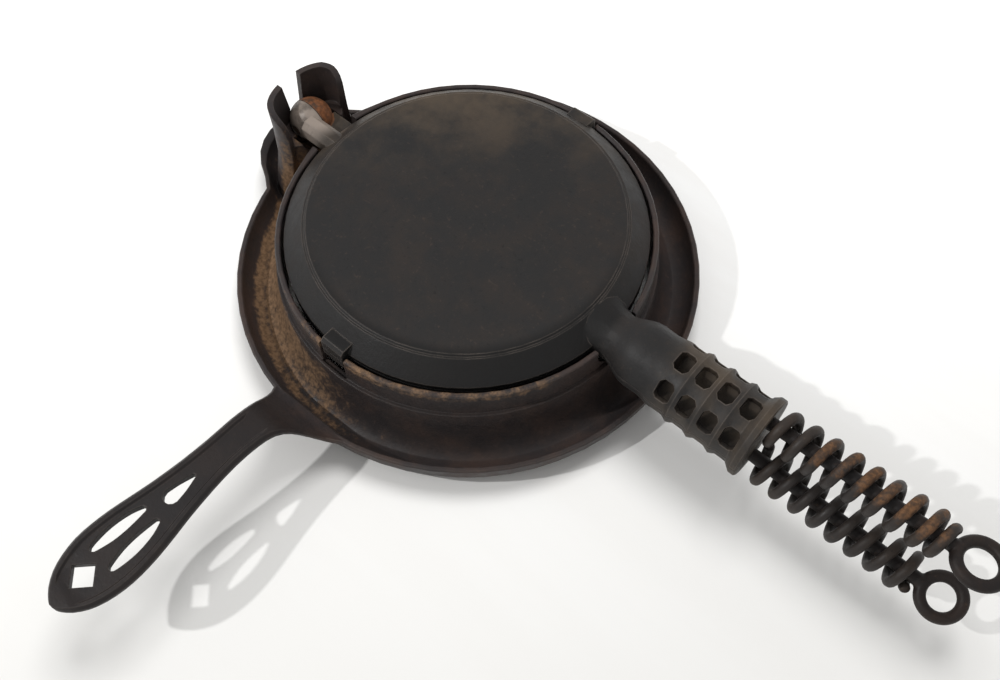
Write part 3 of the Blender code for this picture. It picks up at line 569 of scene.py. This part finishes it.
def rod_axes(side):
    """Start of a handle rod, its direction and the two directions across it."""
    joint = JOINTS[f"{side}_coil_turn"]
    start = Vector(joint["pos_m"])
    run = Vector(joint["axis"]).normalized()
    outward = Vector((0, 0, SIGNS[side]))
    across = run.cross(outward).normalized()
    up = across.cross(run)
    return start, run, across, up


def make_coil(side, material):
    """A coil grip of one smooth wire, in the place of its CAD node."""
    start, run, across, up = rod_axes(side)
    node = f"{side}_coil_grip"
    first = (PAN_CENTRE.x + COIL_START - start.x) / run.x + COIL_WIRE + COIL_PITCH * COIL_LEAD_TURNS
    random = np.random.default_rng(COIL_SEEDS[side])
    phases = random.uniform(0, math.tau, 3)
    lead = round(COIL_LEAD_TURNS * COIL_POINTS_PER_TURN)
    count = round(COIL_TURNS * COIL_POINTS_PER_TURN)
    points = []
    for i in range(-lead, count + 1):
        turn = i / COIL_POINTS_PER_TURN
        left = COIL_TURNS - turn
        ease = min(max(left, 0) / COIL_TIGHT_TURNS, 1)
        radius = COIL_TIGHT_RADIUS + (COIL_RADIUS - COIL_TIGHT_RADIUS) * ease * ease * (3 - 2 * ease)
        radius += COIL_WOBBLE * ease * (math.sin(turn * COIL_SWELL_RATE + phases[0]) - 1)
        waver = [
            math.sin(turn * rate + phase) for rate, phase in zip(COIL_SLIP_RATES, phases[1:])
        ]
        slip = COIL_WOBBLE * ease * sum(waver)
        angle = math.tau * turn
        along = first + COIL_PITCH * turn - (COIL_PITCH - COIL_END_PITCH) * max(1 - left, 0)
        along += slip * min(turn + COIL_LEAD_TURNS, 1)
        points.append(start + run * along + (up * math.cos(angle) - across * math.sin(angle)) * radius)
    radii = [COIL_WIRE] * len(points)
    radii[0] = radii[-1] = COIL_WIRE * COIL_TIP_SHARE
    made = tube(points, radii, WIRE_SIDES, f"{side}_coil")
    made.data.materials.append(material)
    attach(made, f"{side}_coil")
    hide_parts(node)


def make_rod(side, material):
    """A handle rod with its ring eye, forged into one."""
    start, run, _, _ = rod_axes(side)
    ring, wire, roll = EYES[side]
    node = f"{side}_handle_rod"
    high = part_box(node)[1]
    centre_x = high.x - ring - wire
    centre = start + run * ((centre_x - start.x) / run.x)
    flat = Matrix.Rotation(roll, 3, run) @ Vector((0, SIGNS[side], 0))
    end = centre - run * ring
    rod_points = [start.lerp(end, i / ROD_STEPS) for i in range(ROD_STEPS + 1)]
    rod = tube(rod_points, [ROD_RADIUS] * len(rod_points), ROD_SIDES, f"{side}_rod")
    ring_points = []
    for i in range(EYE_STEPS):
        angle = math.tau * i / EYE_STEPS
        ring_points.append(centre + (run * math.cos(angle) + flat * math.sin(angle)) * ring)
    eye = tube(ring_points, [wire] * EYE_STEPS, ROD_SIDES, f"{side}_eye", closed=True)
    join = rod.modifiers.new("weld", "BOOLEAN")
    join.operation = "UNION"
    join.solver = "EXACT"
    join.object = eye
    melt = rod.modifiers.new("melt", "REMESH")
    melt.mode = "VOXEL"
    melt.voxel_size = ROD_VOXEL
    melt.use_smooth_shade = True
    ease = rod.modifiers.new("ease", "SMOOTH")
    ease.factor = ROD_EASE
    ease.iterations = ROD_EASE_ROUNDS
    bpy.context.view_layer.update()
    graph = bpy.context.evaluated_depsgraph_get()
    mesh = bpy.data.meshes.new_from_object(rod.evaluated_get(graph))
    rod.modifiers.clear()
    rod.data = mesh
    mesh.shade_smooth()
    mesh.materials.clear()
    mesh.materials.append(material)
    bpy.data.objects.remove(eye)
    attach(rod, f"{side}_pan")
    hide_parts(node)


def make_lamp(name, place, size, energy, mirrored=True):
    """A soft round lamp that looks at the pans. One that isn't mirrored leaves no shine on the iron."""
    data = bpy.data.lights.new(name, "AREA")
    data.shape = "DISK"
    data.size = size
    data.energy = energy
    made = new_object(name, data)
    made.location = PAN_CENTRE + place
    made.visible_glossy = mirrored
    made.rotation_mode = "QUATERNION"
    made.rotation_quaternion = (PAN_CENTRE - made.location).to_track_quat("-Z", "Y")


def make_camera():
    """The photograph's camera."""
    data = bpy.data.cameras.new("camera")
    data.sensor_width = SENSOR
    data.lens = CAMERA_LENS
    data.clip_start, data.clip_end = CAMERA_CLIP
    place = PAN_CENTRE + CAMERA_BACK * CAMERA_DISTANCE
    place += CAMERA_RIGHT * CAMERA_OFFSET[0] + CAMERA_UP * CAMERA_OFFSET[1]
    turn = Matrix((CAMERA_RIGHT, CAMERA_UP, CAMERA_BACK)).transposed()
    camera = new_object("camera", data)
    camera.matrix_world = Matrix.Translation(place) @ turn.to_4x4()
    bpy.context.scene.camera = camera


def make_table():
    """A plain pale table top, with painted shade that makes it a little darker on its lower side."""
    t = Tree("table_top")
    tone = t.mix(t.steps(t.noise(*STREAKS), *STREAK_AREAS), *TABLE_TONES)
    # Painted shade: darker towards the table's lower side
    tone = t.mix(t.steps(t.along(PAN_CENTRE, TABLE_PAINTED_SHADE_SIDE), *TABLE_PAINTED_SHADE_FALL), tone, TABLE_PAINTED_SHADE)
    half = TABLE_HALF
    corners = [(-half, -half, 0), (half, -half, 0), (half, half, 0), (-half, half, 0)]
    mesh = bpy.data.meshes.new("table_top")
    mesh.from_pydata(corners, [], [(0, 1, 2, 3)])
    mesh.materials.append(t.finish(tone, TABLE_ROUGH, TABLE_GLOSS))
    made = new_object("table_top", mesh)
    made.location = (0, 0, -TABLE_GAP)


def make_world():
    """An even white sky."""
    world = bpy.data.worlds.new("sky")
    world.use_nodes = True
    bpy.context.scene.world = world
    sky = world.node_tree.nodes["Background"]
    sky.inputs["Color"].default_value = (1, 1, 1, 1)
    sky.inputs["Strength"].default_value = SKY


make_camera()
make_table()
make_world()
make_lamp("key", *KEY_LAMP)
make_lamp("overhead", *OVERHEAD_LAMP, mirrored=False)

RUST = srgb(132, 104, 78)
PAN_IRON = {
    "dark": srgb(34, 33, 33),
    "brown": srgb(52, 43, 37),
    "rust": srgb(120, 74, 44),
    "brown_share": 0.40,
    "wear_share": 0.42,
    "rough": (0.46, 0.62),
    "soot_and_shade": painted_bevel_shade,
    "sheen_and_patina": pan_sheen_and_patina,
}
base_iron = iron(
    "base_iron",
    srgb(47, 43, 43),
    srgb(66, 52, 46),
    RUST,
    base_rust,
    brown_share=0.75,
    wear_share=0.42,
    wear_colour=srgb(92, 84, 78),
    rough=(0.40, 0.60),
    soot_and_shade=base_soot,
)
upper_iron = iron(
    "upper_pan_iron",
    rust_mask=pan_rust(0.12),
    wear_colour=srgb(132, 121, 112),
    rubbed=rubbed_hinge,
    **PAN_IRON,
)
lower_iron = iron(
    "lower_pan_iron",
    rust_mask=pan_rust(0.95),
    wear_colour=srgb(104, 96, 88),
    **PAN_IRON,
)
rod_steel = iron(
    "rod_steel",
    srgb(25, 22, 22),
    srgb(52, 39, 31),
    RUST,
    even_rust(0.26),
    wear_share=0.3,
    round_edge=0.0004,
)
pin_steel = iron(
    "pin_metal",
    srgb(52, 46, 42),
    srgb(74, 58, 46),
    RUST,
    even_rust(0.42),
    round_edge=0.0003,
)

smoothing = soften_group()
dress("base", base_iron, smoothing)
dress("lower_pan", lower_iron, smoothing)
dress("upper_pan", upper_iron, smoothing)
dress("hinge_pin", pin_steel, smoothing)
for side in SIGNS:
    coil_wire = iron(
        f"{side}_coil_wire",
        srgb(42, 38, 36),
        srgb(64, 52, 42),
        srgb(112, 80, 54),
        coil_rust(side),
        wear_share=0.3,
        round_edge=0.0003,
    )
    make_coil(side, coil_wire)
    make_rod(side, rod_steel)

view = bpy.context.scene.view_settings
view.view_transform = "Standard"
